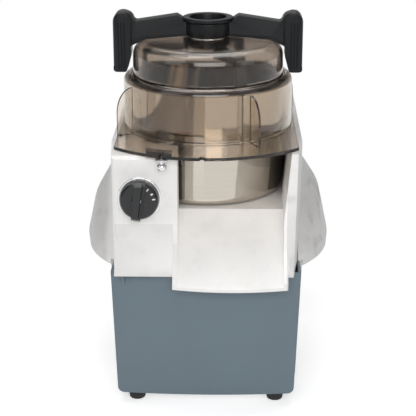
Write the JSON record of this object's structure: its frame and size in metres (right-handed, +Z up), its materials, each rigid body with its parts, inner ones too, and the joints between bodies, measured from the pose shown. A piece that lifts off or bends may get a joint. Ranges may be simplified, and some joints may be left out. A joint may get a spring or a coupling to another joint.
{
  "type": "commercial food processor",
  "caption": "Table-top cutter and vegetable processor with a steel bowl, a smoky clear lid, a hand-turned scraper and a front ejection chute over a belt-driven base.",
  "frame": {"origin": "on the table under the middle of the machine's width and depth", "axes": "+Z up, +X to the right of someone who faces the machine, -Y towards that person, where the chute points"},
  "size_m": [0.2848, 0.35, 0.4247],
  "materials": {
    "machine_housing": "satin ground casting",
    "front_cover": "fine satin blue-grey",
    "rear_shell": "light grey powder coat",
    "base_plate": "galvanised sheet",
    "foot_front_left": "matte",
    "foot_front_right": "matte",
    "foot_rear_left": "matte",
    "foot_rear_right": "matte",
    "foot_screws": "zinc plated",
    "base_screws": "zinc plated",
    "shell_screws": "stainless",
    "cable_gland": "moulded",
    "control_knob": "satin black with white marks",
    "knob_bezel": "polished",
    "switch_body": "moulded",
    "switch_shaft": "turned",
    "switch_nut": "plated",
    "interlock_switch": "moulded",
    "safety_pin": "polished",
    "pin_bracket": "stainless sheet",
    "motor_core": "laminated steel",
    "motor_windings": "varnished copper",
    "motor_upper_end": "die cast",
    "motor_lower_end": "die cast",
    "motor_bolts": "zinc plated",
    "motor_rotor": "turned lamination",
    "motor_shaft": "ground",
    "motor_fan": "moulded",
    "motor_bearings": "ground",
    "motor_pulley": "turned",
    "drive_belt": "moulded",
    "drive_pulley": "turned",
    "drive_shaft": "ground stainless",
    "drive_pin": "ground stainless",
    "bearing_housing": "cast",
    "drive_bearings": "ground",
    "shaft_seal": "moulded",
    "bearing_screws": "zinc plated",
    "motor_bracket": "painted plate",
    "bracket_posts": "zinc plated",
    "capacitor": "drawn can",
    "start_relay": "moulded",
    "bowl": "polished stainless",
    "bowl_tube": "stainless",
    "knife_hub": "moulded",
    "lower_blade": "ground",
    "upper_blade": "ground",
    "knife_cap": "moulded",
    "lid": "smoky clear plastic",
    "lid_dome": "smoky clear plastic",
    "lid_seal": "moulded",
    "lid_bush": "moulded",
    "lid_catches": "moulded",
    "handle": "satin black",
    "feed_collar": "satin black",
    "scraper_hub": "moulded",
    "scraper_arms": "moulded",
    "scraper_wipers": "moulded",
    "handle_screws": "stainless"
  },
  "bodies": {
    "machine": {"machine_housing": "machine_housing", "front_cover": "front_cover", "rear_shell": "rear_shell", "base_plate": "base_plate", "foot_front_left": "foot_front_left", "foot_front_right": "foot_front_right", "foot_rear_left": "foot_rear_left", "foot_rear_right": "foot_rear_right", "foot_screws": "foot_screws", "base_screws": "base_screws", "shell_screws": "shell_screws", "cable_gland": "cable_gland", "knob_bezel": "knob_bezel", "switch_body": "switch_body", "switch_nut": "switch_nut", "interlock_switch": "interlock_switch", "pin_bracket": "pin_bracket", "motor_core": "motor_core", "motor_windings": "motor_windings", "motor_upper_end": "motor_upper_end", "motor_lower_end": "motor_lower_end", "motor_bolts": "motor_bolts", "motor_bearings": "motor_bearings", "drive_belt": "drive_belt", "bearing_housing": "bearing_housing", "drive_bearings": "drive_bearings", "shaft_seal": "shaft_seal", "bearing_screws": "bearing_screws", "motor_bracket": "motor_bracket", "bracket_posts": "bracket_posts", "capacitor": "capacitor", "start_relay": "start_relay", "lid_catches": "lid_catches"},
    "rotor": {"motor_rotor": "motor_rotor", "motor_shaft": "motor_shaft", "motor_fan": "motor_fan", "motor_pulley": "motor_pulley"},
    "drive": {"drive_shaft": "drive_shaft", "drive_pin": "drive_pin", "drive_pulley": "drive_pulley"},
    "knob": {"control_knob": "control_knob", "switch_shaft": "switch_shaft"},
    "pin": {"safety_pin": "safety_pin"},
    "bowl": {"bowl": "bowl", "bowl_tube": "bowl_tube"},
    "knife": {"knife_hub": "knife_hub", "lower_blade": "lower_blade", "upper_blade": "upper_blade", "knife_cap": "knife_cap"},
    "seal": {"lid_seal": "lid_seal"},
    "lid": {"lid": "lid", "lid_dome": "lid_dome", "lid_bush": "lid_bush"},
    "scraper": {"handle": "handle", "feed_collar": "feed_collar", "scraper_hub": "scraper_hub", "scraper_arms": "scraper_arms", "scraper_wipers": "scraper_wipers", "handle_screws": "handle_screws"}
  },
  "joints": [
    {"name": "bowl_lift", "type": "slide", "parent": "machine", "child": "bowl", "axis": [0, 0, 1], "range_m": [0, 0.15]},
    {"name": "lid_lift", "type": "slide", "parent": "bowl", "child": "seal", "axis": [0, 0, 1], "range_m": [0, 0.13]},
    {"name": "lid_turn", "type": "hinge", "parent": "seal", "child": "lid", "pos_m": [0, -0.017, 0.3], "axis": [0, 0, 1], "range_deg": [-18, 0]},
    {"name": "pin_press", "type": "slide", "parent": "machine", "child": "pin", "axis": [0, 0, 1], "range_m": [0, 0.0035], "stiffness_N_per_m": 100, "springref_m": -0.002},
    {"name": "scraper_turn", "type": "hinge", "parent": "lid", "child": "scraper", "pos_m": [0, -0.017, 0.4], "axis": [0, 0, 1], "continuous": true},
    {"name": "knob_turn", "type": "hinge", "parent": "machine", "child": "knob", "pos_m": [-0.072, -0.141, 0.243], "axis": [0, -1, 0], "range_deg": [0, 80]},
    {"name": "rotor_spin", "type": "hinge", "parent": "machine", "child": "rotor", "pos_m": [0, 0.098, 0.1], "axis": [0, 0, 1], "continuous": true},
    {"name": "drive_spin", "type": "hinge", "parent": "machine", "child": "drive", "pos_m": [0, -0.017, 0.2], "axis": [0, 0, 1], "continuous": true},
    {"name": "knife_spin", "type": "hinge", "parent": "bowl", "child": "knife", "pos_m": [0, -0.017, 0.26], "axis": [0, 0, 1], "continuous": true}
  ],
  "couplings": [
    {"joint": "drive_spin", "follows": "rotor_spin", "ratio": 0.5},
    {"joint": "knife_spin", "follows": "rotor_spin", "ratio": 0.5}
  ]
}
